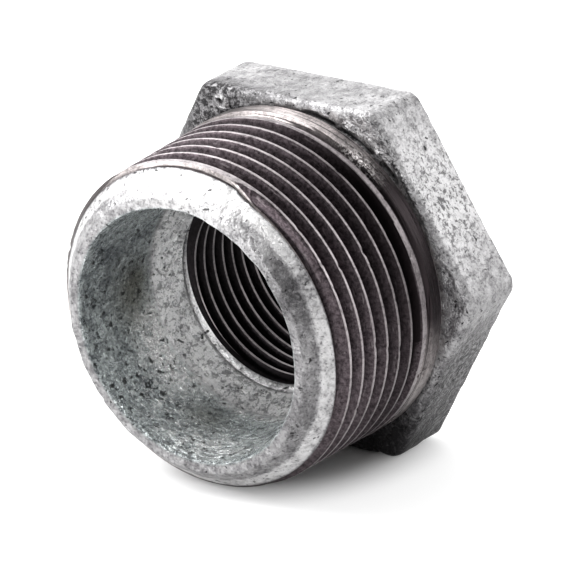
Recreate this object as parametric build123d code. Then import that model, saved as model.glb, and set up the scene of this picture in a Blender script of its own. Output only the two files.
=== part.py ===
from build123d import *
from build123d.topology import SkipClean
import math
import os

# A malleable-iron reducing hex bushing: taper male thread outside, parallel female thread inside.
# It is one casting. It is drawn on its turning axis, +Z running from the head's outer face to the
# male end, and then laid on one flat of the hexagon, so that the axis runs along Y, the male end
# looks to -Y and the origin is the centre of the head's outer face. Millimetres and degrees.

# ---- hexagonal head -------------------------------------------------------------------------------
across_flats = 44.4
head_thickness = 9.0
corner_radius = 3.0           # the six cast corners
head_edge_radius = 1.2        # round along both outlines of the hexagon

# ---- male end: R 1 1/4, 11 threads an inch, taper 1:16 on diameter ----------------------------------
body_length = 22.5            # from the head to the tip of the nose
gauge_diameter = 41.91        # over the crests in the gauge plane
gauge_length = 12.7           # from the first full thread to the gauge plane
male_pitch = 25.4 / 11
male_taper = 1 / 16
land_length = 3.2             # turned land between the head and the thread
land_diameter = 42.3
relief_width = 0.5            # narrow relief in the corner between the land and the head
relief_depth = 0.35
last_groove_height = 0.8      # centre of the last full-depth groove above the land
last_groove_angle = 200       # where that groove starts, from the X axis
run_out_turns = 0.75          # the groove is drawn out of the land over this part of a turn
nose_length = 3.15            # rough cast cone in front of the thread
nose_diameter = 39.3          # where the cone meets the turned part
tip_diameter = 34.4           # outer edge of the blunt tip of the cone
lead_chamfer = 0.6            # axial length of the turned chamfer behind the cone
lip_radius = 0.4              # both edges of the blunt tip

# ---- cored recess behind the nose -------------------------------------------------------------------
recess_mouth_diameter = 31.8
recess_floor_diameter = 29.9
recess_depth = 13.15          # from the tip of the nose to the edge of the sloping floor
recess_floor_radius = 1.2

# ---- female port: Rp 3/4, 14 threads an inch, parallel -----------------------------------------------
female_minor_diameter = 24.117
female_pitch = 25.4 / 14
female_length = 14.4          # from the head's outer face to the recess floor
female_first_groove = 1.13    # height of the first groove inside the port, over the X axis
port_chamfer = 1.3            # radial, at the head's outer face
inner_chamfer = 0.45          # radial, at the recess floor

# ---- thread form: 55 degrees, with crest and root flats a sixth of the pitch wide ---------------------
half_angle = math.radians(27.5)
flat_share = 1 / 6
depth_share = (0.5 - flat_share) / math.tan(half_angle)
cut_past = 0.15               # how far a cutter stands past the surface that it cuts
stretch_overlap = 0.01        # part of a turn by which one male stretch runs into the next
stretch_step = 0.02           # every second male stretch is this much deeper, to merge cleanly

total_length = head_thickness + body_length
land_z = head_thickness + land_length
nose_z = total_length - nose_length
first_thread_z = nose_z - lead_chamfer
gauge_z = first_thread_z - gauge_length
taper_angle = math.atan(male_taper / 2)


def crest_radius(z):
    """Radius over the male crests at height z above the head's outer face."""
    return gauge_diameter / 2 - (z - gauge_z) * male_taper / 2


def turned_blank():
    """The barrel before threading: relief, land, taper, lead chamfer and cast nose cone."""
    land = land_diameter / 2
    relief = land - relief_depth
    relief_z = head_thickness + relief_width
    with BuildPart() as blank:
        with BuildSketch(Plane.XZ):
            with BuildLine():
                Polyline(
                    (0, 0),
                    (relief, 0),
                    (relief, relief_z),
                    (land, relief_z),
                    (land, land_z),
                    (crest_radius(land_z), land_z),
                    (crest_radius(first_thread_z), first_thread_z),
                    (nose_diameter / 2, nose_z),
                    (tip_diameter / 2, total_length),
                    (0, total_length),
                    close=True,
                )
            make_face()
        revolve(axis=Axis.Z)
    return blank.part


def hex_head():
    """Hexagon with two flats square to Y, rounded corners and rounded outlines."""
    with BuildPart() as head:
        with BuildSketch():
            RegularPolygon(across_flats / 2, 6, major_radius=False)
            fillet(vertices(), corner_radius)
        extrude(amount=head_thickness)
        outlines = edges().group_by(Axis.Z)
        fillet(outlines[0] + outlines[-1], head_edge_radius)
    return head.part


def recess():
    """The cored recess behind the nose, with its draft, rounded foot and sloping floor."""
    floor_z = total_length - recess_depth
    with BuildPart() as core:
        with BuildSketch(Plane.XZ):
            with BuildLine():
                Polyline(
                    (0, female_length),
                    (female_minor_diameter / 2 + inner_chamfer, female_length),
                    (recess_floor_diameter / 2, floor_z),
                    (recess_mouth_diameter / 2, total_length),
                    (recess_mouth_diameter / 2, total_length + cut_past),
                    (0, total_length + cut_past),
                    close=True,
                )
            make_face()
            foot = vertices().sort_by_distance((recess_floor_diameter / 2, floor_z))[0]
            fillet(foot, recess_floor_radius)
        revolve(axis=Axis.Z)
    return core.part


def port_quarters():
    """The plain bore of the female port with its two chamfers, turned a quarter turn at a time.

    No face of the bore then runs on for more than a quarter turn.
    """
    bore = female_minor_diameter / 2
    with BuildPart() as quarter:
        with BuildSketch(Plane.XZ):
            with BuildLine():
                Polyline(
                    (0, -cut_past),
                    (bore + port_chamfer + cut_past, -cut_past),
                    (bore, port_chamfer),
                    (bore, female_length - inner_chamfer),
                    (bore + inner_chamfer, female_length),
                    (0, female_length),
                    close=True,
                )
            make_face()
        revolve(axis=Axis.Z, revolution_arc=90)
    return [Rot(Z=90 * turn) * quarter.part for turn in range(4)]


def groove(root_radius, pitch, start_z, start_angle, turns, cone_angle, inwards):
    """One stretch of a thread groove: the 55 degree section swept up a right-hand helix.

    root_radius is the radius of the groove's bottom at its start, and cone_angle, in radians, is
    how the bottom closes in on the axis. The section opens outwards on a male thread, inwards on
    a female one, and a little past the crests.
    """
    reach = depth_share * pitch + cut_past
    root = pitch * flat_share / 2
    mouth = root + reach * math.tan(half_angle)
    open_radius = root_radius + (-reach if inwards else reach)
    slant_pitch = pitch / math.cos(cone_angle)
    path = Helix(
        slant_pitch, pitch * turns, root_radius, (0, 0, start_z), cone_angle=-math.degrees(cone_angle)
    )
    with BuildPart() as cutter:
        with BuildSketch(Plane.XZ):
            with BuildLine():
                Polyline(
                    (root_radius, start_z - root),
                    (root_radius, start_z + root),
                    (open_radius, start_z + mouth),
                    (open_radius, start_z - mouth),
                    close=True,
                )
            make_face()
        sweep(path=path, is_frenet=True)
    return Rot(Z=start_angle) * cutter.part


def male_grooves():
    """The male groove in stretches of a turn, with the one that is drawn out of the land first."""
    depth = depth_share * male_pitch
    full_z = land_z + last_groove_height
    rise = male_pitch * run_out_turns
    clear_radius = land_diameter / 2 + cut_past
    lift_angle = math.atan((clear_radius - crest_radius(full_z) + depth) / rise)
    run_out_angle = last_groove_angle - 360 * run_out_turns
    grooves = [
        groove(clear_radius, male_pitch, full_z - rise, run_out_angle, run_out_turns, lift_angle, False)
    ]
    turns = math.ceil((nose_z - full_z) / male_pitch) + 1
    for turn in range(turns):
        z = full_z + turn * male_pitch
        root = crest_radius(z) - depth - stretch_step * (turn % 2)
        length = 1 + stretch_overlap
        grooves.append(groove(root, male_pitch, z, last_groove_angle, length, taper_angle, False))
    return grooves


def female_grooves():
    """The female groove in stretches of a turn, from outside the port to inside the recess."""
    major = female_minor_diameter / 2 + depth_share * female_pitch
    start_z = female_first_groove - 2 * female_pitch
    turns = math.ceil((female_length - start_z) / female_pitch) + 1
    starts = [start_z + turn * female_pitch for turn in range(turns)]
    return [groove(major, female_pitch, z, 0, 1, 0, True) for z in starts]


def hex_bushing():
    """The finished casting: blank, head and recess, with the port and both threads cut."""
    with BuildPart() as bushing:
        add(turned_blank())
        add(hex_head())
        add(recess(), mode=Mode.SUBTRACT)
        fillet(edges().group_by(Axis.Z)[-1], lip_radius)
        with SkipClean():
            for cutter in port_quarters() + male_grooves() + female_grooves():
                add(cutter, mode=Mode.SUBTRACT, clean=False)
    return bushing.part


os.makedirs("parts", exist_ok=True)
lying = Rot(X=90) * hex_bushing()
export_step(lying, "parts/hex_bushing.step")
size = lying.bounding_box().size
print(f"hex_bushing: {size.X:.2f} x {size.Y:.2f} x {size.Z:.2f} mm, {lying.volume / 1000:.2f} cm3")
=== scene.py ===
# %% [markdown]
# # A galvanised hex bushing
# This lesson dresses one casting: a reducing bushing of malleable iron, dipped in zinc, with a taper
# thread cut outside and a smaller parallel thread cut inside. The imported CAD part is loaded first,
# and everything here is in metres in its frame: the axis runs along Y, the male end looks to -Y and
# the origin is the centre of the head's outer face.

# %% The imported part
import math
import bpy
import numpy as np
from mathutils import Matrix, Vector


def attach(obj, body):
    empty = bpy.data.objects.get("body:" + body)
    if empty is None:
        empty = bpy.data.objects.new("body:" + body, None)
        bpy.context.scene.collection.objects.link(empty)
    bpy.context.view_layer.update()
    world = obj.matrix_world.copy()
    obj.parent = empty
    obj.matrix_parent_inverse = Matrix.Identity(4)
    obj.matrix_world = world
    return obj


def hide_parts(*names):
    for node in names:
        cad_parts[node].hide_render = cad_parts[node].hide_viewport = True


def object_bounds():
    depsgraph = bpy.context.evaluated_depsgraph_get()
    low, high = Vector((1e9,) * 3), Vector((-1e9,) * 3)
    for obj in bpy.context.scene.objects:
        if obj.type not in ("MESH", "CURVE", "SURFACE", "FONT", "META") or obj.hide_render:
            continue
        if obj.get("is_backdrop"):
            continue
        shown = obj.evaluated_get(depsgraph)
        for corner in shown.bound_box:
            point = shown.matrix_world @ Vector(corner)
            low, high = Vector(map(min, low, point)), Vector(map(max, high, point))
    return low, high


MM = 1000
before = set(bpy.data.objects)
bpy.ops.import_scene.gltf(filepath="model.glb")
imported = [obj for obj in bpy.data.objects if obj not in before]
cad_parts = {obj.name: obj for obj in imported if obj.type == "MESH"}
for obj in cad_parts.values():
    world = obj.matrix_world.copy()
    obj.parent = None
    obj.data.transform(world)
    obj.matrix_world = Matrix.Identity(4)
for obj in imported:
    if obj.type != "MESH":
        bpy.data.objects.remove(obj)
cad_low, cad_high = (np.array(corner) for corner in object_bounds())
print("CAD box, mm:", (cad_low * MM).round(2), (cad_high * MM).round(2))

# %% [markdown]
# ## Measures
# The sizes are in millimetres. `along` is the distance from the head's outer face towards the male
# end, so it is minus Y. Heights along the axis and radii are all that a turned part needs. They are
# the CAD source's, but for five that are trimmed for looks, by up to 0.8 mm. CORNER and EDGE are
# sharper, PORT_CHAMFER and CONE_R are larger, and CHAMFER_START is nearer the tip. The mesh functions
# work in millimetres, and the vertices are divided by a thousand once, when they become a mesh.

# %% Sizes of the head, the barrel and the bore
ACROSS_FLATS, CORNER, EDGE = 44.4, 2.2, 0.9
HEAD, RELIEF_END, LAND_END = 9.0, 9.5, 12.2
RELIEF_R, LAND_R = 20.8, 21.15
GAUGE_R, GAUGE_AT, TAPER = 20.955, 15.05, 1 / 32
CHAMFER_START, CONE_START, TIP = 27.95, 28.35, 31.5
CONE_R, TIP_OUT_R, TIP_IN_R, LIP = 19.95, 17.2, 15.9, 0.4
FLOOR_AT, FLOOR_R, FOOT = 18.35, 14.95, 1.2
PORT_R, PORT_CHAMFER, PORT_END, PORT_INNER = 12.0585, 1.9, 14.4, 0.45
COLUMNS = 416

angle = np.linspace(0, 2 * np.pi, COLUMNS, endpoint=False)
turn = np.degrees(angle) / 360
print("columns", COLUMNS, "each", round(2 * math.pi * LAND_R / COLUMNS, 2), "mm wide on the land")

# %% [markdown]
# Both threads have the same form: flanks at 27.5 degrees, with a sixth of the pitch left flat at crest
# and root. The male groove has its full depth from MALE_FULL on, and fades out over RUN_OUT turns
# towards the head. At the nose it starts at one angle, so the first crest is a wide plain band there.

# %% Sizes of the threads
MALE_PITCH, FEMALE_PITCH = 25.4 / 11, 25.4 / 14
MALE_FULL, MALE_ANGLE, RUN_OUT = 13.0, 200.0, 0.75
FEMALE_FIRST = 1.13
HALF_ANGLE = math.tan(math.radians(27.5))
FLAT = 1 / 6
DEPTH = (0.5 - FLAT) / HALF_ANGLE
CREST_ROUNDING = 0.10
MALE_LIMIT, FEMALE_LIMIT = 29.7, 15.7
MALE_PHASE = MALE_FULL - MALE_PITCH * MALE_ANGLE / 360
MALE_LAST = MALE_PHASE + 7 * MALE_PITCH
START_ANGLE, START_FADE = 62.0, 26.0
THREAD_START = MALE_LAST + MALE_PITCH * START_ANGLE / 360
print("thread depths, mm", round(DEPTH * MALE_PITCH, 3), round(DEPTH * FEMALE_PITCH, 3))
print("the male thread starts", round(THREAD_START, 2), "mm along")

# %% [markdown]
# ## A noise to shape the skin
# A cast skin is never smooth: it has broad waves from the sand mould, and pits. Blender's Displace
# modifier could push the vertices along a texture, but a short numpy noise lets each region of the
# part have its own strength. Every lattice point gets a fixed pseudo-random number, and the value
# between them is blended with the smooth curve 3t^2 - 2t^3.

# %% Lattice noise
def lattice(cell, seed):
    """A number in -1..1 for each cell: the sine of a mixed index, times a big number, less its whole part."""
    mixed = cell[..., 0] * 127.1 + cell[..., 1] * 311.7 + cell[..., 2] * 74.7 + seed * 19.19
    value = np.sin(mixed) * 43758.5453
    return 2 * (value - np.floor(value)) - 1


def noise(points, size, seed):
    """Value noise: the eight lattice numbers round a point, blended by smoothed distance on each axis."""
    scaled = points / size
    cell = np.floor(scaled)
    t = scaled - cell
    t = t * t * (3 - 2 * t)
    total = 0
    for corner in np.ndindex(2, 2, 2):
        weight = np.prod(np.where(corner, t, 1 - t), axis=-1)
        total = total + weight * lattice(cell + np.array(corner), seed)
    return total


probe = noise(np.random.default_rng(3).uniform(-20, 20, (4000, 3)), 2.0, 1)
print("noise mean and spread", probe.mean().round(3), probe.std().round(3))

# %% [markdown]
# ## Outlines
# The whole part is one closed surface in two parameters: the angle round the axis, and the distance
# along a profile that runs from the port, through the bore, over the nose, along the thread and
# round the head back to the port. Where nothing winds round the axis, the rows are plain rings, and
# an outline function gives a ring's radius at each angle.

# %% Taper, hexagon and rings
def crest_radius(along):
    """The taper: the gauge radius, less 1/32 mm of radius for each mm beyond the gauge plane."""
    return GAUGE_R - (along - GAUGE_AT) * TAPER


def hexagon(inset):
    """Radius at each angle: apothem / cos on the flats, and a circle of the corner's radius between."""
    apothem, corner = ACROSS_FLATS / 2 - inset, CORNER - inset
    away = np.abs(np.degrees(angle) % 60 - 30)
    centre = (apothem - corner) / math.cos(math.pi / 6)
    tangent = math.degrees(math.atan((apothem - corner) * math.tan(math.pi / 6) / apothem))
    beta = np.radians(30 - away)
    rounded = centre * np.cos(beta) + np.sqrt(np.maximum(corner**2 - (centre * np.sin(beta)) ** 2, 0))
    return np.where(away < tangent, apothem / np.cos(np.radians(away)), rounded)


def rings(along, radius):
    """Rings from lists of distances and radii, each repeated round the axis."""
    column = np.ones(COLUMNS)
    return np.outer(along, column), np.outer(radius, column)


wall_slope = (TIP_IN_R - FLOOR_R) / (TIP - FLOOR_AT)
print("recess draft, degrees", round(math.degrees(math.atan(wall_slope)), 2))
print("corner to corner, mm", round(2 * hexagon(0).max(), 2))

# %% [markdown]
# ## Threads as a height over the axis
# A thread could be a profile swept along a helix, but its ends and its run-out are then hard to
# close. Here it is the plain radius, cut back by a groove: the groove's floor rises at 27.5 degrees
# off the radial on both sides of its centre line, and its centre line climbs one pitch a turn. The
# rows of the grid climb with it, so that every row stays on a crest, a flank or a root.

# %% Rows that climb with a thread
def helix_rows(low, high, pitch, phase, shares):
    """Distances of rows that climb a pitch a turn, held between low and high.

    shares are the places of the rows within one pitch, from the middle of a groove.
    """
    first = math.floor((low - pitch - phase) / pitch)
    last = math.ceil((high - phase) / pitch)
    starts = (np.arange(first, last + 1)[:, None] + np.array(shares)[None, :]).ravel() * pitch + phase
    return np.clip(starts[:, None] + pitch * turn[None, :], low, high), len(shares)


def groove_offset(along, pitch, phase):
    """Signed distance along the axis from the middle of the nearest groove."""
    lead = along - phase - pitch * turn
    return lead - pitch * np.round(lead / pitch)


ROOT, CREST = FLAT / 2, 0.5 - FLAT / 2
MALE_FLANK = [ROOT, 0.2, 0.33, CREST - 0.01, CREST + 0.03]
MALE_SHARES = [-share for share in reversed(MALE_FLANK)] + MALE_FLANK
FEMALE_SHARES = [-CREST, -0.25, -ROOT, ROOT, 0.25, CREST, 0.5]
print("rows in a pitch, male and female:", len(MALE_SHARES), len(FEMALE_SHARES))

# %% [markdown]
# ## The two cut surfaces
# The male root is a taper of its own, a thread's depth under the crests. Towards the head it rises
# evenly until it leaves the land, and at the nose it is lifted clear of the metal beyond the thread's
# start. The female root is a plain cylinder that cuts into the chamfers and the sloping floor.

# %% Radius of the barrel and of the port
CLEAR_OF_LAND, CLEAR_AT_START = 0.15, 3.0


def smooth_least(a, b, width):
    """The lesser of a and b, with the corner between them rounded where they differ by under width."""
    share = np.clip(0.5 + 0.5 * (b - a) / width, 0, 1)
    return b + (a - b) * share - width * share * (1 - share)


def male_surface(along):
    """The lesser of the turned barrel's radius and the groove's: root + distance from it / tan 27.5."""
    plain = np.where(along < LAND_END, LAND_R, crest_radius(along))
    chamfer = (crest_radius(CHAMFER_START) - CONE_R) / (CONE_START - CHAMFER_START)
    plain = plain - (chamfer - TAPER) * np.clip(along - CHAMFER_START, 0, CONE_START - CHAMFER_START)
    bevel = (CONE_R - TIP_OUT_R) / (TIP - CONE_START)
    plain = plain - (bevel - TAPER) * np.maximum(along - CONE_START, 0)
    offset = groove_offset(along, MALE_PITCH, MALE_PHASE)
    middle = along - offset
    root = crest_radius(middle) - DEPTH * MALE_PITCH
    out = np.clip((MALE_FULL - middle) / (RUN_OUT * MALE_PITCH), 0, 2)
    root = root + out * (LAND_R + CLEAR_OF_LAND - root)
    fade = (middle - THREAD_START) / (MALE_PITCH * START_FADE / 360)
    root = root + CLEAR_AT_START * np.clip(fade, 0, 1)
    side = np.maximum(np.abs(offset) - MALE_PITCH * FLAT / 2, 0)
    return smooth_least(plain, root + side / HALF_ANGLE, CREST_ROUNDING)


def female_surface(along):
    """The greater of the port's radius, with its chamfers and floor, and the groove's."""
    rise = (FLOOR_R - PORT_R - PORT_INNER) / (FLOOR_AT - PORT_END)
    plain = PORT_R + np.maximum(PORT_CHAMFER - along, 0)
    plain = plain + np.clip(along - (PORT_END - PORT_INNER), 0, PORT_INNER)
    plain = plain + rise * np.maximum(along - PORT_END, 0)
    offset = groove_offset(along, FEMALE_PITCH, FEMALE_FIRST)
    root = PORT_R + DEPTH * FEMALE_PITCH
    side = np.maximum(np.abs(offset) - FEMALE_PITCH * FLAT / 2, 0)
    return np.maximum(plain, root - side / HALF_ANGLE)


print("radius at the gauge plane, mm", male_surface(np.full(COLUMNS, GAUGE_AT)).max().round(3))

# %% [markdown]
# ## Putting the surface together
# A ring stands at each turned edge, such as the chamfer's, so that the edge is a true circle which
# the thread may cut. Between two rings the rows climb, and rows that are held at a zone's end take
# the ring's own vertices, so that neighbouring zones share them. Three finish numbers pick the
# material: the cast skin, the cut thread and the turned land.

# %% Vertices, faces and finishes
CAST, CUT, LAND = 0, 1, 2
along_list, radius_list, quads, quad_finish = [], [], [], []
count = 0


def add_vertices(along, radius):
    """Stores a block of vertices and returns the numbers given to them, in the block's own shape."""
    global count
    along_list.append(np.broadcast_to(along, np.shape(radius)).ravel())
    radius_list.append(np.ravel(radius))
    numbers = np.arange(count, count + np.size(radius)).reshape(np.shape(radius))
    count += np.size(radius)
    return numbers


def add_ring_faces(numbers, finish):
    """Quads between neighbouring rings, closed round the axis; finish is one number or one a gap."""
    near, far = numbers[:-1], numbers[1:]
    faces = np.stack([near, np.roll(near, -1, 1), np.roll(far, -1, 1), far], -1)
    quads.append(faces.reshape(-1, 4))
    quad_finish.append(np.broadcast_to(np.reshape(finish, (-1, 1)), near.shape).ravel())


def ring_at(along, surface):
    """A ring that follows the cut surface at one distance along the axis."""
    there = np.full(COLUMNS, float(along))
    return add_vertices(there, surface(there))


def add_helical_zone(ends, ring_pair, surface, pitch, phase, shares, finish, outward):
    """Climbing rows between two rings; past the last column, each row meets the one a pitch on."""
    (low, high), (low_ring, high_ring) = ends, ring_pair
    along, step = helix_rows(low, high, pitch, phase, shares)
    numbers = add_vertices(along, surface(along))
    numbers = np.where(along <= low + 1e-9, low_ring[None, :], numbers)
    numbers = np.where(along >= high - 1e-9, high_ring[None, :], numbers)
    seam = np.concatenate([numbers[step:, 0], np.full(step, high_ring[0])])
    beside = np.concatenate([numbers[:, 1:], seam[:, None]], 1)
    faces = np.stack([numbers[:-1], beside[:-1], beside[1:], numbers[1:]], -1).reshape(-1, 4)
    quads.append(faces[:, ::-1] if outward else faces)
    quad_finish.append(np.full(len(faces), finish))


# %% The zones of both threads
female_ends = [0.0, PORT_CHAMFER, PORT_END - PORT_INNER, PORT_END, FEMALE_LIMIT]
female_rings = [ring_at(end, female_surface) for end in female_ends]
male_ends = [RELIEF_END, LAND_END, CHAMFER_START, CONE_START, MALE_LIMIT]
male_rings = [ring_at(end, male_surface) for end in male_ends]
for k, finish in enumerate([CUT, CUT, CUT, CAST]):
    add_helical_zone(female_ends[k:k + 2], female_rings[k:k + 2], female_surface,
                     FEMALE_PITCH, FEMALE_FIRST, FEMALE_SHARES, finish, False)
for k, finish in enumerate([LAND, CUT, LAND, CAST]):
    add_helical_zone(male_ends[k:k + 2], male_rings[k:k + 2], male_surface,
                     MALE_PITCH, MALE_PHASE, MALE_SHARES, finish, True)
print("vertices so far", count)

# %% [markdown]
# ## The recess and the nose
# These are plain rings. The recess foot and the two lips of the blunt tip are arcs in the profile,
# with straight draft, tip and bevel between them.

# %% Rings of the recess and nose
def unit(vector):
    """The vector over its length."""
    return np.array(vector) / np.linalg.norm(vector)


def rounded(before, corner, after, size, steps):
    """Points on the arc of one radius that touches both lines of a corner, in (along, radius).

    Its centre lies on the corner's bisector, size / sin(half the corner) away, and the points turn
    evenly from the foot of one perpendicular to the foot of the other.
    """
    before, corner, after = np.array(before), np.array(corner), np.array(after)
    u, v = unit(before - corner), unit(after - corner)
    half = math.acos(u @ v) / 2
    centre = corner + unit(u + v) * size / math.sin(half)
    first = unit(corner + u * size / math.tan(half) - centre)
    last = unit(corner + v * size / math.tan(half) - centre)
    whole = math.acos(first @ last)
    t = np.linspace(0, 1, steps)[:, None]
    points = (np.sin((1 - t) * whole) * first + np.sin(t * whole) * last) / math.sin(whole)
    return centre + size * points


def line(start, end, rows):
    """Points along a straight line, without its ends."""
    t = np.linspace(0, 1, rows + 2)[1:-1, None]
    return np.array(start) * (1 - t) + np.array(end) * t


def plain_point(limit, surface):
    """The (along, radius) point where the rings take over from a cut surface."""
    return limit, float(surface(np.full(COLUMNS, limit))[COLUMNS // 2])


floor_out = plain_point(FEMALE_LIMIT, female_surface)
cone_in = plain_point(MALE_LIMIT, male_surface)
floor_edge, tip_in, tip_out = (FLOOR_AT, FLOOR_R), (TIP, TIP_IN_R), (TIP, TIP_OUT_R)
foot = rounded(floor_out, floor_edge, tip_in, FOOT, 6)
lip_in = rounded(floor_edge, tip_in, tip_out, LIP, 4)
lip_out = rounded(tip_in, tip_out, (CONE_START, CONE_R), LIP, 4)
profile = np.concatenate([
    line(floor_out, foot[0], 3), foot, line(foot[-1], lip_in[0], 17),
    lip_in, line(lip_in[-1], lip_out[0], 2), lip_out, line(lip_out[-1], cone_in, 3),
])
nose = add_vertices(*rings(profile[:, 0], profile[:, 1]))
add_ring_faces(np.concatenate([female_rings[-1][None], nose, male_rings[-1][None]]), CAST)
print("recess and nose rings", len(profile))

# %% [markdown]
# ## The head
# The head's rings blend from a circle to the hexagon's outline. Its two rolled edges are the outline
# drawn in by an arc's inset, which also makes the corner's radius smaller, as a real fillet does. The
# relief between head and land is cut deeper on one side, as if the tool had dug in there.

# %% Rings of the head
UNDERCUT, UNDERCUT_AT, UNDERCUT_HALF = 0.5, 62.0, 34.0
FRONT_SHARES = [0.15, 0.3, 0.45, 0.6, 0.75, 0.9]
SIDE_RINGS, BACK_RINGS = 13, 9


def blend(inner, outer, share):
    """Rings between two outlines, each a share of the way from inner to outer."""
    return inner + (outer - inner) * np.reshape(share, (-1, 1))


quarter = np.radians([0, 30, 60, 90])
edge_rise = EDGE * (1 - np.cos(quarter))
gap = (np.degrees(angle) - UNDERCUT_AT + 180) % 360 - 180
relief_radius = RELIEF_R - UNDERCUT * np.exp(-(gap / UNDERCUT_HALF) ** 4)
front = blend(relief_radius, hexagon(EDGE), FRONT_SHARES)
front_edge = np.stack([hexagon(EDGE * (1 - math.sin(a))) for a in quarter])
side = np.stack([hexagon(0)] * SIDE_RINGS)
outer = blend(PORT_R + PORT_CHAMFER, hexagon(EDGE), np.linspace(0.9, 0.1, BACK_RINGS))
head_radius = np.concatenate([[relief_radius] * 2, front, front_edge, side, front_edge[::-1], outer])
head_along = np.concatenate([
    [RELIEF_END, HEAD], np.full(len(front), HEAD), HEAD - edge_rise,
    np.linspace(HEAD - EDGE, EDGE, SIDE_RINGS + 2)[1:-1], edge_rise[::-1], np.zeros(BACK_RINGS),
])
head = add_vertices(head_along[:, None] * np.ones(COLUMNS), head_radius)
head_finish = [LAND, LAND] + [CAST] * (len(head) - 1)
add_ring_faces(np.concatenate([male_rings[0][None], head, female_rings[0][None]]), head_finish)
print("head rings", len(head))

# %% [markdown]
# ## One closed surface
# All stretches are joined into one set of vertices. Quads that lost a side at a zone's end become
# triangles, and those that lost more are dropped. The sign of the enclosed volume, the sum of
# each triangle's tetrahedron with the origin, says whether the faces point outwards, and the same
# tetrahedra give the centre of mass, which the floor needs later.

# %% Faces without doubles
along = np.concatenate(along_list)
radius = np.concatenate(radius_list)
column = np.arange(count) % COLUMNS
quad = np.concatenate(quads)
finish = np.tile(np.concatenate(quad_finish), 2)
triangles = np.concatenate([quad[:, [0, 1, 2]], quad[:, [0, 2, 3]]])
whole = np.all(triangles != np.roll(triangles, 1, 1), axis=1)
triangles, finish = triangles[whole], finish[whole]
points = np.stack([radius * np.cos(angle[column]), -along, radius * np.sin(angle[column])], 1)


def volume_and_centre(points, triangles):
    """A sixth of the sum of a . (b x c), and the tetrahedra's centres (a + b + c) / 4 weighed by it."""
    a, b, c = (points[triangles[:, k]] for k in range(3))
    parts = np.einsum("ij,ij->i", a, np.cross(b, c)) / 6
    return float(parts.sum()), (parts[:, None] * (a + b + c) / 4).sum(0) / parts.sum()


volume, mass_centre = volume_and_centre(points, triangles)
if volume < 0:
    triangles = triangles[:, ::-1]
edges = np.sort(np.concatenate([triangles[:, [0, 1]], triangles[:, [1, 2]], triangles[:, [2, 0]]]), 1)
uses = np.unique(edges[:, 0].astype(np.int64) * count + edges[:, 1], return_counts=True)[1]
print("triangles", len(triangles), "edges not shared by two", int((uses != 2).sum()))
print("volume, cm3", round(abs(volume) / 1000, 3), "centre of mass, mm", mass_centre.round(2))

# %% [markdown]
# ## What each vertex is
# The nose, the recess and the head keep the skin of the sand mould under the zinc, while the thread,
# the land and the port are cut clean. A few numbers on each vertex say which. Most are 0 or 1, with
# a short smooth step between. The depth in the thread runs evenly from 0 on a crest to 1 in a root.

# %% Masks on the vertices
middle_r = np.hypot(points[:, 0], points[:, 2])
around = np.degrees(angle[column])
in_nose, in_head = np.isin(np.arange(count), nose), np.isin(np.arange(count), head)
outside = ~in_nose & ~in_head & (middle_r > 18.5)
inside = ~in_nose & ~in_head & ~outside


def step(value, low, high):
    """0 below low, 1 above high and smooth between."""
    t = np.clip((value - low) / (high - low), 0, 1)
    return t * t * (3 - 2 * t)


plain_here = np.where(along < LAND_END, LAND_R, crest_radius(along))
thread_depth = np.zeros(count)
thread_depth[outside] = np.clip((plain_here - middle_r)[outside] / (DEPTH * MALE_PITCH), 0, 1)
thread_depth[inside] = np.clip((middle_r - PORT_R)[inside] / (DEPTH * FEMALE_PITCH), 0, 1)
bore = inside.astype(float)
print("vertices outside, inside, nose, head:", outside.sum(), inside.sum(), in_nose.sum(), in_head.sum())

# %% Where the skin is cast
UNCUT = 0.02
on_cone = TIP_OUT_R + (TIP - along) * (CONE_R - TIP_OUT_R) / (TIP - CONE_START)
floor_rise = (FLOOR_R - PORT_R - PORT_INNER) / (FLOOR_AT - PORT_END)
on_floor = PORT_R + PORT_INNER + (along - PORT_END) * floor_rise
port_edge = PORT_R + PORT_CHAMFER
cast = in_nose.astype(float)
cast[outside] = (step(along, CONE_START, CONE_START + 0.3) * (np.abs(middle_r - on_cone) < UNCUT))[outside]
cast[inside] = (step(along, PORT_END, PORT_END + 0.5) * (np.abs(middle_r - on_floor) < UNCUT))[inside]
back_face = step(middle_r, port_edge, port_edge + 1)
front_and_rim = step(middle_r, RELIEF_R, RELIEF_R + 0.3) * (along < HEAD + 0.1)
cast[in_head] = np.where(along < 0.01, back_face, front_and_rim)[in_head]
recess = in_nose * step(along, FLOOR_AT, FLOOR_AT + 1.2) * step(-middle_r, -TIP_IN_R - 0.3, -TIP_IN_R)
ring_floor = (in_nose | inside) * step(-along, -FLOOR_AT - 0.4, -FLOOR_AT) * cast
nose_face = in_nose * (1 - recess) * (1 - ring_floor) + outside * cast
front_face = in_head * step(along, HEAD - EDGE, HEAD - 0.1)
flats = in_head * step(middle_r, ACROSS_FLATS / 2 - 0.5, ACROSS_FLATS / 2 - 0.1) * (1 - front_face)
land_zone = outside * (along < LAND_END + 1)
thread_zone = outside * (along > LAND_END + 1)
print("cast share", cast.mean().round(3), "recess share", recess.mean().round(3))

# %% [markdown]
# ## Marks at their places
# One casting differs from the next by its marks: an olive stain in the recess, a galled spot and a
# fine crack on the land, a crevice beside it, and a small burr. Over them lie painted highlights and
# shade: brighter and darker patches, glints in the recess, the crevice's black, and the burr's bright
# ring and dark hollow. They could be painted by hand, but a mark worked out from its angle round the
# axis and its distance along it can be read and moved. A spot is an amount, an angle in degrees, a
# distance along in millimetres, and a half width in each.

# %% Soft spots
def patch(at_angle, at_along, half_angle, half_along):
    """A soft spot: exp of minus the squared gaps from its middle, each over its own half width."""
    gap = (around - at_angle + 180) % 360 - 180
    return np.exp(-(gap / half_angle) ** 2 - ((along - at_along) / half_along) ** 2)


def spots(*list_of_spots):
    """The sum of soft spots, each with its own amount."""
    return sum(amount * patch(*where) for amount, *where in list_of_spots)


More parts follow.
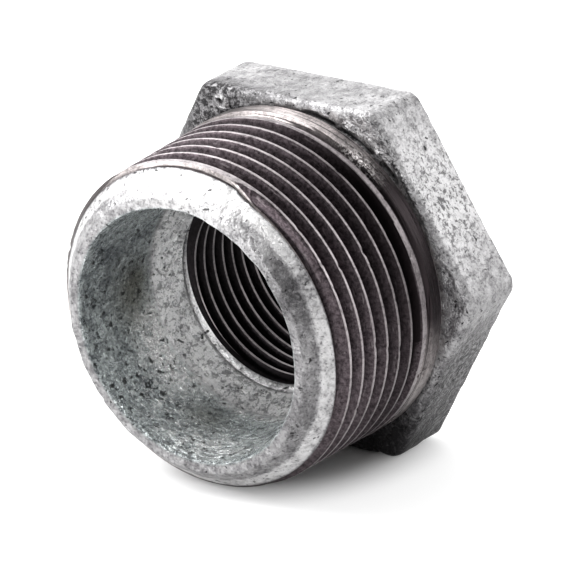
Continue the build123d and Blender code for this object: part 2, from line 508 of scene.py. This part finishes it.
stain = recess * spots((1, -174, 22.5, 16, 3.2), (0.7, -108, 23, 12, 2.5), (0.5, 176, 21, 10, 2))
# Painted glints: spots in the recess where sparkle is painted into the colour.
painted_glint_spots = recess * spots((1, -148, 20.5, 18, 2.6), (0.8, -128, 26, 16, 3.2), (1, -92, 27.5, 26, 2.6))
galled = outside * spots((1.3, 56, 11.2, 7, 1.0))
# Speckled zinc is whiter with a dark net; on the ring floor the whitening is partly painted light.
speckled = (flats * spots((1, 30, 5, 24, 9), (0.3, -30, 5, 26, 9), (0.25, 90, 5, 26, 9))
            + front_face * spots((0.9, 55, 9, 24, 2), (0.7, 120, 9, 24, 2)) + 0.7 * ring_floor)
print("stain", stain.max().round(2), "painted_glint_spots", painted_glint_spots.max().round(2), "galled", galled.max().round(2))

# %% Burr, crevice and crack
BURR_X, BURR_Z, BURR_RING, BURR_WALL, BURR_HOLLOW = -9.95, 20.15, 0.65, 0.30, 0.38
CREVICE_R, CREVICE_WIDTH, CREVICE_HALF = 20.95, 0.42, 27.0
CRACK_AT, CRACK_SWAY, CRACK_WIDTH, DEGREE_ON_LAND = -23.0, 1.2, 0.22, 0.37
burr_gap = np.hypot(points[:, 0] - BURR_X, points[:, 2] - BURR_Z)
burr_ring = np.exp(-((burr_gap - BURR_RING) / BURR_WALL) ** 2)
burr_hollow = np.exp(-(burr_gap / BURR_HOLLOW) ** 2)
# A crevice in the front face beside the land: a groove, painted near-black as the shade in it.
crevice_turn = (around - UNDERCUT_AT + 180) % 360 - 180
crevice_with_painted_shade = front_face * np.exp(-((middle_r - CREVICE_R) / CREVICE_WIDTH) ** 4 - (crevice_turn / CREVICE_HALF) ** 4)
crevice_with_painted_shade = crevice_with_painted_shade * step(noise(points, 1.8, 8), -0.75, -0.2)
crack_line = CRACK_AT + CRACK_SWAY * np.sin(along * 5.0)
crack_gap = (around - 360 - crack_line) * DEGREE_ON_LAND
crack = outside * spots((1, CRACK_AT, 11.6, 3, 1.3)) * np.exp(-(crack_gap / CRACK_WIDTH) ** 2)
print("burr", (front_face * burr_ring).max().round(2))
print("crevice_with_painted_shade", crevice_with_painted_shade.max().round(2), "crack", crack.max().round(2))

# %% [markdown]
# The tone is one number for the whole part, and most of it is painted light: below zero the finish is
# duller and darker, as painted shade, and above zero it is brighter, as a painted highlight. On the
# thread it also rises evenly towards the nose.

# %% Tone
CORNER_LINE_AT, CORNER_LINE_HALF = 0.9, 0.45
flat_gap = ACROSS_FLATS / 2 - points[:, 0] * math.cos(math.pi / 6) - points[:, 2] * 0.5
corner_line = np.exp(-((flat_gap - CORNER_LINE_AT) / CORNER_LINE_HALF) ** 2)
corner_line = in_head * patch(44, HEAD, 17, 1.0) * corner_line
down_chamfer = np.clip((along - CHAMFER_START) / (CONE_START - CHAMFER_START), 0, 1)
tone_and_painted_light = (
    # painted shade on the top and lower right flats and on the front face
    flats * spots((-0.28, 90, 5, 26, 9), (-0.75, -30, 5, 26, 9))
    + front_face * spots((-0.08, 62, 9, 14, 3), (-0.12, 10, 9, 22, 3))
    # painted shade on the lower right corner and the upper left of the front face, and a darker line along
    # the front edge of the upper right flat
    + in_head * spots((-1.5, -64, 7, 19, 8), (-0.75, 120, 9, 24, 1.5)) - 0.75 * corner_line
    # the burr: a painted highlight on its ring and painted shade in its hollow
    + front_face * (1.2 * burr_ring - 1.5 * burr_hollow)
    # the nose: painted shade on the right and upper right, and a painted highlight on top
    + nose_face * (spots((-0.5, 28, 29.5, 15, 3), (-0.35, -20, 29.5, 28, 3), (0.70, 84, 29.5, 24, 3)) - 0.10)
    # the recess: painted highlights on the foot, the glint spots, the right and the top, painted shade at the
    # left, and a brighter ring floor, partly whiter zinc and partly painted light
    + recess * spots((0.7, -85, 19.2, 45, 0.7), (1.1, -148, 20.5, 20, 3.0), (0.4, -90, 28, 24, 2.5))
    + recess * spots((-0.3, 165, 25, 30, 6), (0.8, 5, 22, 50, 5), (0.8, 80, 22, 40, 5)) + 0.75 * ring_floor
    # the land: a painted highlight on top and painted shade on the right
    + land_zone * spots((0.46, 77, 11, 15, 4), (-0.25, 114, 11, 18, 4), (-0.85, 20, 11, 36, 4))
    # the thread: brighter towards the nose, with painted shade on its right side
    + thread_zone * ((along - 20) / 14 + spots((-0.5, 15, 18, 45, 9), (-0.9, 15, 13.2, 45, 1.3)))
    - outside * (1 - cast) * down_chamfer
    # the bore: a painted highlight on the first lip at the lower left and painted shade at the upper left
    + inside * spots((0.8, -150, 14.2, 30, 0.6), (-0.4, 150, 8, 60, 9))
)
print("tone from", tone_and_painted_light.min().round(2), "to", tone_and_painted_light.max().round(2))

# %% [markdown]
# ## Relief
# Waves, pits and marks move each vertex along its normal, by up to half a millimetre. The result is
# then held inside the CAD's box. Left free, the relief and the two sharper corners on the X axis
# would stand up to about 0.2 mm past it, so the two boxes are equal because of this step.

# %% Normals and relief
def vertex_normals(points, triangles):
    """The sum of the cross products of each vertex's triangles, made a unit vector."""
    a, b, c = (points[triangles[:, k]] for k in range(3))
    faces = np.cross(b - a, c - a)
    total = np.zeros_like(points)
    for k in range(3):
        np.add.at(total, triangles[:, k], faces)
    return total / np.maximum(np.linalg.norm(total, axis=1, keepdims=True), 1e-12)


normals = vertex_normals(points, triangles)
broad = noise(points, 6.0, 1) * 0.5 + noise(points, 2.6, 2)
fine = noise(points, 1.3, 3) + 0.6 * noise(points, 0.7, 4)
pits = np.clip(noise(points, 1.7, 5) - 0.60, 0, 1)
crests = outside * (thread_depth < 0.06) * (along > LAND_END)
nicks = np.clip(noise(points, 0.9, 6) - 0.55, 0, 1) + spots((0.35, -1.3, 21.75, 0.8, 0.5))
relief = (
    cast * (0.07 * broad + 0.06 * fine - 0.6 * pits)
    + front_face * (0.35 * (burr_ring - burr_hollow) + 0.06 * patch(60, 9, 30, 3) * (fine + broad))
    + outside * 0.012 * noise(points, 0.8, 7) + galled * 0.05 * fine
    - 0.45 * (crevice_with_painted_shade + crack) - 0.4 * crests * nicks
)
free = points + normals * relief[:, None]
points = np.clip(free, cad_low * MM, cad_high * MM)
held = np.abs(points - free)[np.unique(triangles)]
print("relief from", relief.min().round(3), "to", relief.max().round(3), "mm")
print("held inside the box:", int((held.max(1) > 0).sum()), "vertices, by at most", held.max().round(3), "mm")

# %% The mesh
SHARP = 38
used = np.unique(triangles)
renumber = np.zeros(count, int)
renumber[used] = np.arange(len(used))
body = bpy.data.meshes.new("hex_bushing_body")
body.from_pydata((points[used] / MM).tolist(), [], renumber[triangles].tolist())
body.polygons.foreach_set("material_index", finish.astype(np.int32))
body.polygons.foreach_set("use_smooth", np.ones(len(body.polygons), bool))
marks = {"thread_depth": thread_depth, "bore": bore, "recess": recess, "tone_and_painted_light": tone_and_painted_light, "stain": stain,
         "painted_glint_spots": painted_glint_spots, "gap": crack + crevice_with_painted_shade, "galled": galled, "speckled": speckled}
for name, values in marks.items():
    layer = body.attributes.new(name, "FLOAT", "POINT")
    layer.data.foreach_set("value", values[used].astype(np.float32))
body.set_sharp_from_angle(angle=math.radians(SHARP))
bushing = bpy.data.objects.new("hex_bushing_body", body)
bpy.context.scene.collection.objects.link(bushing)
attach(bushing, "root")
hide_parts("hex_bushing")
print("mesh of", len(body.vertices), "vertices and", len(body.polygons), "faces")

# %% [markdown]
# ## Shader maths as Python
# Node trees drawn by hand are hard to read as text. One small class wraps a socket, so that an
# expression such as a * b + 1 adds its own Math nodes. A second class holds a tree of nodes, and its
# one method `node` adds any other kind.

# %% The expression class
class Value:
    """A socket with a number in it; arithmetic on it adds Math nodes to its tree."""

    def __init__(self, tree, socket):
        self.tree, self.socket = tree, socket

    def math(self, operation, *others, clamp=False):
        """A Math node whose inputs are this value and the others."""
        return self.tree.node("ShaderNodeMath", {"operation": operation, "use_clamp": clamp}, [self, *others])

    def __add__(self, other):
        return self.math("ADD", other)

    def __radd__(self, other):
        return self + other

    def __sub__(self, other):
        return self.math("SUBTRACT", other)

    def __rsub__(self, other):
        return self.math("MULTIPLY_ADD", -1, other)

    def __mul__(self, other):
        return self.math("MULTIPLY", other)

    def __rmul__(self, other):
        return self * other

    def clamp(self):
        """The value held between 0 and 1."""
        return self.math("ADD", 0, clamp=True)

    def ramp(self, low, high):
        """0 below low, 1 above high and smooth between; low above high turns it round."""
        if low > high:
            return 1 - self.ramp(high, low)
        smooth = {"interpolation_type": "SMOOTHSTEP"}
        return self.tree.node("ShaderNodeMapRange", smooth, [self, low, high, 0, 1])


# %% Trees of nodes
class Tree:
    """A node tree being built: values and links in, wrapped sockets out."""

    def __init__(self, owner):
        owner.use_nodes = True
        self.nodes, self.links = owner.node_tree.nodes, owner.node_tree.links

    def fill(self, socket, value):
        """Links or sets one socket; a colour of three numbers gets its fourth."""
        if isinstance(value, Value):
            self.links.new(value.socket, socket)
        elif socket.type == "RGBA":
            socket.default_value = (*value, 1)
        else:
            socket.default_value = value

    def node(self, kind, settings=None, inputs=(), output=0):
        """Adds a node, sets it up, fills its sockets from values or links, and wraps an output."""
        made = self.nodes.new(kind)
        for key, value in (settings or {}).items():
            setattr(made, key, value)
        pairs = inputs.items() if isinstance(inputs, dict) else enumerate(inputs)
        for key, value in pairs:
            self.fill(made.inputs[key], value)
        return Value(self, made.outputs[output])

    def place(self):
        """Object coordinates, in metres."""
        return self.node("ShaderNodeTexCoord", output="Object")

    def squeezed(self, scale):
        """Object coordinates scaled along each axis; a small scale draws a pattern out that way."""
        return self.node("ShaderNodeMapping", {}, {"Vector": self.place(), "Scale": scale})

    def noise(self, size_mm, detail=2.0, roughness=0.5, distortion=0.0, at=None):
        """Noise whose grains are about size_mm across."""
        return self.node("ShaderNodeTexNoise", {}, {
            "Vector": at or self.place(), "Scale": MM / size_mm, "Detail": detail,
            "Roughness": roughness, "Distortion": distortion,
        }, "Fac")

    def attribute(self, name):
        """A number stored on the mesh."""
        return self.node("ShaderNodeAttribute", {"attribute_name": name}, output="Fac")

    def mix(self, share, first, second):
        """A colour between two: the Mix node's sockets 6 and 7 and its output 2 are the colours."""
        settings = {"data_type": "RGBA", "blend_type": "MIX"}
        return self.node("ShaderNodeMix", settings, {0: share, 6: first, 7: second}, 2)

    def bump(self, height, depth_mm):
        """A Bump node for a height in 0..1 worth depth_mm."""
        return self.node("ShaderNodeBump", {}, {"Height": height, "Distance": depth_mm / MM, "Strength": 1.0})


class Finish(Tree):
    """A material, and the tree of its one Principled shader."""

    def __init__(self, name):
        self.material = bpy.data.materials.new(name)
        super().__init__(self.material)
        self.shader = self.nodes["Principled BSDF"]

    def feed(self, **sockets):
        """Links or sets the shader's sockets; underscores stand for spaces."""
        for key, value in sockets.items():
            self.fill(self.shader.inputs[key.replace("_", " ")], value)


# %% [markdown]
# ## Galvanised cast skin
# Hot-dip zinc on a sand-cast skin is a dull, uneven metal: pale grey with darker specks, and sharper
# where the zinc ran thick. It could be one grey metal with a rough bump, but the eye reads several
# sizes of mottling: clouds some millimetres wide, mottle and grains of about one, and small black
# pits. In the recess the zinc is a little darker and bluer, and shinier.

# %% Zinc: noises and base colour
DARK_ZINC, PALE_ZINC = (0.15, 0.145, 0.152), (0.68, 0.67, 0.68)
DARK_BLUE_ZINC, PALE_BLUE_ZINC = (0.13, 0.148, 0.160), (0.62, 0.67, 0.67)
SPECKLE_WHITE, SPECKLE_BLACK = (0.92, 0.91, 0.92), (0.06, 0.058, 0.06)
zinc = Finish("zinc_skin")
in_recess, tone_and_painted_light_here, speckled_here = (zinc.attribute(name) for name in ("recess", "tone_and_painted_light", "speckled"))
clouds = zinc.noise(4.5, 2.0, 0.5)
mottle = zinc.noise(1.5, 4.0, 0.62, 0.3)
grains = zinc.noise(0.55, 3.0, 0.65)
specks = zinc.noise(0.30, 2.0, 0.6)
pitting = (zinc.noise(0.9, 2.0, 0.6, 0.4) + 0.05 * in_recess).ramp(0.66, 0.72)
light = (clouds * 0.16 + mottle * 0.32 + grains * 0.34 + specks * 0.18 + 0.10 * tone_and_painted_light_here).ramp(0.37, 0.59)
skin = zinc.mix(light, DARK_ZINC, PALE_ZINC)
deep = zinc.mix(light, DARK_BLUE_ZINC, PALE_BLUE_ZINC)
colour = zinc.mix(in_recess, skin, deep)
colour = zinc.mix(speckled_here * 0.55, colour, SPECKLE_WHITE)
print("zinc nodes", len(zinc.nodes))

# %% [markdown]
# The marks come over the base one by one: painted shade where the tone is below zero, and bloom with
# painted highlights where it is above, both broken up by the grains, then the olive stain, a dark net
# of specks, painted glints in the recess, and last the pits and gaps, which are nearly black; the gap of
# the crevice is painted shade.

# %% Zinc: marks and shader
SHADE, BLOOM_AND_HIGHLIGHT_WHITE, OLIVE = (0.04, 0.038, 0.04), (0.98, 0.97, 0.97), (0.085, 0.078, 0.050)
PAINTED_GLINT_WHITE, SPECK, PIT_BLACK = (0.97, 0.98, 0.97), (0.05, 0.048, 0.05), (0.012, 0.012, 0.012)
# Painted shade where the tone is below zero, and a painted highlight, in places a whiter zinc bloom, where it
# is above.
shade = (tone_and_painted_light_here * (-0.4 - 1.2 * grains.ramp(0.38, 0.60))).clamp()
bloom_and_painted_highlight = (tone_and_painted_light_here * (0.25 + 1.3 * mottle.ramp(0.36, 0.60))).clamp()
soiled = (zinc.attribute("stain") * (0.4 + mottle)).clamp()
net = (zinc.noise(0.62, 4.0, 0.72, 0.5) * 0.8 + mottle * 0.2).ramp(0.50, 0.44) * speckled_here
ripples = zinc.noise(0.5, 2.0, 0.55, 0.8, at=zinc.squeezed((0.45, 1, 1)))
# Painted glints: white flecks in the recess that stand in for highlights.
painted_glints = (zinc.attribute("painted_glint_spots") * ripples.ramp(0.52, 0.62)).clamp()
colour = zinc.mix(shade, colour, SHADE)
colour = zinc.mix(bloom_and_painted_highlight, colour, BLOOM_AND_HIGHLIGHT_WHITE)
colour = zinc.mix(soiled * 0.75, colour, OLIVE)
colour = zinc.mix(net.clamp() * 0.85, colour, SPECKLE_BLACK)
colour = zinc.mix(painted_glints * 0.9, colour, PAINTED_GLINT_WHITE)
colour = zinc.mix(specks.ramp(0.39, 0.31) * (0.7 - 0.3 * light), colour, SPECK)
# Pits, the crack and the crevice go near-black; the crevice's black is painted shade.
colour = zinc.mix((pitting * 0.9 + zinc.attribute("gap")).clamp(), colour, PIT_BLACK)
height = mottle * 0.5 + grains * 0.5 + specks * 0.2 - pitting * 0.8 + in_recess * ripples * 1.5
zinc.feed(Base_Color=colour, Metallic=0.85 - 0.25 * bloom_and_painted_highlight, Normal=zinc.bump(height, 0.42),
          Roughness=0.24 + 0.26 * grains - 0.10 * in_recess)
print("zinc nodes with its marks", len(zinc.nodes))

# %% [markdown]
# ## Cut thread
# The thread was cut after casting, so it is bare iron that has dulled to a warm near-black on the
# flanks. Its crests are lighter, partly rubbed metal and partly a painted highlight that follows the
# tone, and the flanks and the bore's thread are darkened as painted shade. The stored depth of the
# thread tells crest from flank, which no texture could do on a helix. Streaks of scraped metal run
# round the axis, from a noise drawn out along X and Z.

# %% Iron of the threads
DARK_IRON, DULL_IRON, SCRAPED_IRON = (0.030, 0.023, 0.026), (0.155, 0.126, 0.138), (0.34, 0.30, 0.31)
SHADED_IRON, PAINTED_BORE_SHADE = (0.012, 0.009, 0.010), (0.006, 0.0055, 0.006)
RUBBED_AND_HIGHLIT_CREST, RUST_DOT = (0.62, 0.57, 0.58), (0.02, 0.017, 0.018)
thread = Finish("cut_thread")
depth, in_bore, tone_and_painted_light_here = (thread.attribute(name) for name in ("thread_depth", "bore", "tone_and_painted_light"))
smear = thread.noise(0.45, 5.0, 0.7)
dots = thread.noise(0.35, 2.0, 0.6).ramp(0.66, 0.72)
scrapes = thread.noise(0.16, 3.0, 0.6, at=thread.squeezed((0.05, 1, 0.05))).ramp(0.52, 0.68)
scraped = scrapes * thread.noise(1.6, 3.0, 0.6).ramp(0.46, 0.66)
worn = thread.noise(3.0, 3.0, 0.6).ramp(0.35, 0.65)
# Crests: partly rubbed metal and partly a painted highlight that follows the tone; in the bore they are
# dimmed as painted shade.
crest = depth.ramp(0.04, 0.0) * (0.35 + 0.3 * worn + 0.35 * smear.ramp(0.35, 0.6))
crest = crest * (0.8 + 0.5 * tone_and_painted_light_here).clamp() * (1 - 0.65 * in_bore * (1 - tone_and_painted_light_here.clamp()))
iron = thread.mix(smear.ramp(0.3, 0.72), DARK_IRON, DULL_IRON)
iron = thread.mix(scraped * 0.6, iron, SCRAPED_IRON)
# Painted shade on the flanks where the tone is below zero, and near-black painted shade in the bore.
iron = thread.mix((-0.9 * tone_and_painted_light_here).clamp(), iron, SHADED_IRON)
iron = thread.mix(in_bore * 0.9, iron, PAINTED_BORE_SHADE)
colour = thread.mix(crest, iron, RUBBED_AND_HIGHLIT_CREST)
colour = thread.mix(dots * 0.7, colour, RUST_DOT)
thread.feed(Base_Color=colour, Metallic=0.95, Roughness=0.27 + 0.2 * smear, Normal=thread.bump(smear, 0.05))
print("thread nodes", len(thread.nodes))

# %% [markdown]
# ## Turned land
# The land is turned bright, with fine tool lines and a few deeper grooves round the axis, and grit
# over them. The tool galled one place, where the metal is torn up and sparkles.

# %% Metal of the land
DULL_LAND, BRIGHT_LAND = (0.035, 0.028, 0.030), (0.80, 0.73, 0.72)
TORN_METAL, CRACK_BLACK = (0.80, 0.76, 0.75), (0.004, 0.004, 0.004)
land = Finish("turned_land")
round_axis = land.squeezed((0.02, 1, 0.02))
lines = land.noise(0.10, 2.0, 0.6, at=round_axis)
grooves = land.noise(0.42, 1.0, 0.5, at=round_axis).ramp(0.47, 0.41)
streaks = land.noise(0.9, 4.0, 0.65)
grit = land.noise(0.4, 4.0, 0.7)
# The land's brightness follows the tone: a painted highlight on top and painted shade on the right.
painted_light_level = (0.72 + 1.3 * land.attribute("tone_and_painted_light")).clamp()
bright = (lines * 0.3 + streaks * 0.3 + grit * 0.4).ramp(0.40, 0.56) * 0.6 * painted_light_level + 0.4 * painted_light_level
torn = (land.attribute("galled") * land.noise(0.35, 2.0, 0.6).ramp(0.45, 0.6)).clamp()
colour = land.mix(bright * (1 - 0.85 * grooves), DULL_LAND, BRIGHT_LAND)
colour = land.mix(torn, colour, TORN_METAL)
# The crack and the crevice go near-black; the crevice's black is painted shade.
colour = land.mix(land.attribute("gap"), colour, CRACK_BLACK)
land.feed(Base_Color=colour, Metallic=0.95, Roughness=0.26 + 0.18 * streaks,
          Normal=land.bump(lines * 0.4 + streaks * 0.3 + grit * 0.3 - grooves, 0.08))
for material_of_slot in (zinc, thread, land):
    body.materials.append(material_of_slot.material)
print("slots", [slot.name for slot in body.materials])

# %% [markdown]
# ## The floor
# The bushing rests on one flat of the head and the edge of its nose, so it is tipped a little. The
# floor is the plane under it: of all lines that touch the outline's underside, the one whose two
# contacts have the centre of mass between them.

# %% The plane it rests on
FLOOR_HALF, FLOOR_GAP = 1.5, 0.00002


def resting_line(points, balance):
    """The lower hull's edge under the balance point: (slope, height at y = 0), from y and z."""
    bins = np.unique(np.round(points[:, 1], 1))
    hull = []
    for y in bins:
        z = points[np.abs(points[:, 1] - y) < 0.06, 2].min()
        while len(hull) > 1:
            (y0, z0), (y1, z1) = hull[-2:]
            if (y1 - y0) * (z - z0) > (z1 - z0) * (y - y0):
                break
            hull.pop()
        hull.append((y, z))
    for (y0, z0), (y1, z1) in zip(hull, hull[1:]):
        if y0 <= balance <= y1:
            slope = (z1 - z0) / (y1 - y0)
            return slope, z0 - slope * y0


slope, height_at_origin = resting_line(points, mass_centre[1])
sides = [(-1, -1), (1, -1), (1, 1), (-1, 1)]
corners = [(x * FLOOR_HALF, y * FLOOR_HALF, height_at_origin / MM + slope * y * FLOOR_HALF - FLOOR_GAP)
           for x, y in sides]
floor_mesh = bpy.data.meshes.new("floor")
floor_mesh.from_pydata(corners, [], [(0, 1, 2, 3)])
floor = bpy.data.objects.new("floor", floor_mesh)
bpy.context.scene.collection.objects.link(floor)
floor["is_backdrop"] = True
print("the floor is tipped by", round(math.degrees(math.atan(slope)), 2), "degrees")

# %% [markdown]
# The floor is pale paper. Away from the part it glows for camera rays, and less for reflections, so
# that it meets the white background without a line but keeps the shadow by the part. Its underside
# is clear, so that a view from below still shows the part.

# %% Paper of the floor
PAPER, GLOW = (0.70, 0.70, 0.70), 0.6
GLOW_CENTRE, GLOW_SCALE = (-0.06, 0.55, 0), (59, 45, 0)
paper = Finish("floor_paper")
seen = paper.node("ShaderNodeLightPath", output="Is Camera Ray")
seen = seen + 0.3 * paper.node("ShaderNodeLightPath", output="Is Glossy Ray")
ellipse = {"Vector": paper.place(), "Location": GLOW_CENTRE, "Scale": GLOW_SCALE}
centred = paper.node("ShaderNodeMapping", {}, ellipse)
away = paper.node("ShaderNodeVectorMath", {"operation": "LENGTH"}, [centred], "Value")
glow = paper.mix(seen * away.ramp(0.45, 1.05), (0, 0, 0), (1, 1, 1))
paper.feed(Base_Color=PAPER, Roughness=0.9, Emission_Color=glow, Emission_Strength=GLOW)
backfacing = paper.node("ShaderNodeNewGeometry", output="Backfacing")
clear = paper.node("ShaderNodeBsdfTransparent", {}, [(1, 1, 1)])
one_sided = paper.node("ShaderNodeMixShader", {}, [backfacing, Value(paper, paper.shader.outputs[0]), clear])
paper.links.new(one_sided.socket, paper.nodes["Material Output"].inputs["Surface"])
floor_mesh.materials.append(paper.material)
print("floor nodes", len(paper.nodes))

# %% [markdown]
# ## The studio
# Metal looks like what stands round it. The world is white, at a strength of 1, on every side but
# one: in front and above to the right it falls to about a fifth, as a dim room does beyond a light
# tent, and that gives the thread and the recess their dark reflections. The camera, and rays that
# pass straight through, always see white, while reflections see the dim side. Four soft lamps add a
# highlight on the nose, two edges at the back, and a little light into the recess.

# %% World
ROOM_SIDE, ROOM_DIM = (0.30, -0.90, 0.31), 0.22
world = bpy.data.worlds.new("studio")
bpy.context.scene.world = world
studio = Tree(world)
straight = studio.node("ShaderNodeLightPath", output="Is Camera Ray")
straight = straight.math("MAXIMUM", studio.node("ShaderNodeLightPath", output="Is Transmission Ray"))
towards = studio.node("ShaderNodeTexCoord", output="Generated")
facing = studio.node("ShaderNodeVectorMath", {"operation": "DOT_PRODUCT"}, [towards, ROOM_SIDE], "Value")
room = 1 - (1 - ROOM_DIM) * facing.ramp(0.3, 0.8)
background = studio.nodes["Background"]
studio.fill(background.inputs["Color"], (1, 1, 1))
studio.fill(background.inputs["Strength"], straight.math("MAXIMUM", room))
print("world nodes", len(studio.nodes))

# %% Lamps
AIM = Vector((0, -0.015, 0))


def lamp(name, place, size, watts):
    """A square area lamp at place, in metres, aimed at the middle of the part."""
    light = bpy.data.lights.new(name, "AREA")
    light.shape, light.size, light.energy = "SQUARE", size, watts
    made = bpy.data.objects.new(name, light)
    made.location = place
    made.rotation_euler = (AIM - Vector(place)).to_track_quat("-Z", "Y").to_euler()
    bpy.context.scene.collection.objects.link(made)


lamp("key", (-0.40, -0.12, 0.46), 0.45, 3.4)
lamp("rim", (0.37, 0.43, 0.19), 0.30, 0.4)
lamp("back", (-0.35, 0.43, 0.25), 0.40, 0.6)
lamp("fill", (-0.09, -0.55, 0.12), 0.14, 1.0)
print("lamps", len(bpy.data.lights))

# %% [markdown]
# ## Camera
# A long lens from 60 cm away keeps the hexagon's sides nearly parallel. The camera's place and two of
# its own axes, to its right and down its view, are written out, and the third is square to both.

# %% The camera and its view
LENS_WIDTHS, SENSOR = 5000 / 576, 36
place = Vector((0.34424, -0.44377, 0.22816))
right = Vector((0.79827, 0.59816, -0.07053))
down = Vector((0.17839, -0.34666, -0.92087))
camera_data = bpy.data.cameras.new("camera")
camera_data.sensor_width, camera_data.lens, camera_data.clip_end = SENSOR, LENS_WIDTHS * SENSOR, 10
camera = bpy.data.objects.new("camera", camera_data)
rotation = Matrix((right, -down, right.cross(-down))).transposed()
camera.matrix_world = Matrix.Translation(place) @ rotation.to_4x4()
bpy.context.scene.collection.objects.link(camera)
bpy.context.scene.camera = camera
bpy.context.scene.view_settings.view_transform = "Standard"
print("camera", round(place.length, 3), "m from the head's face")
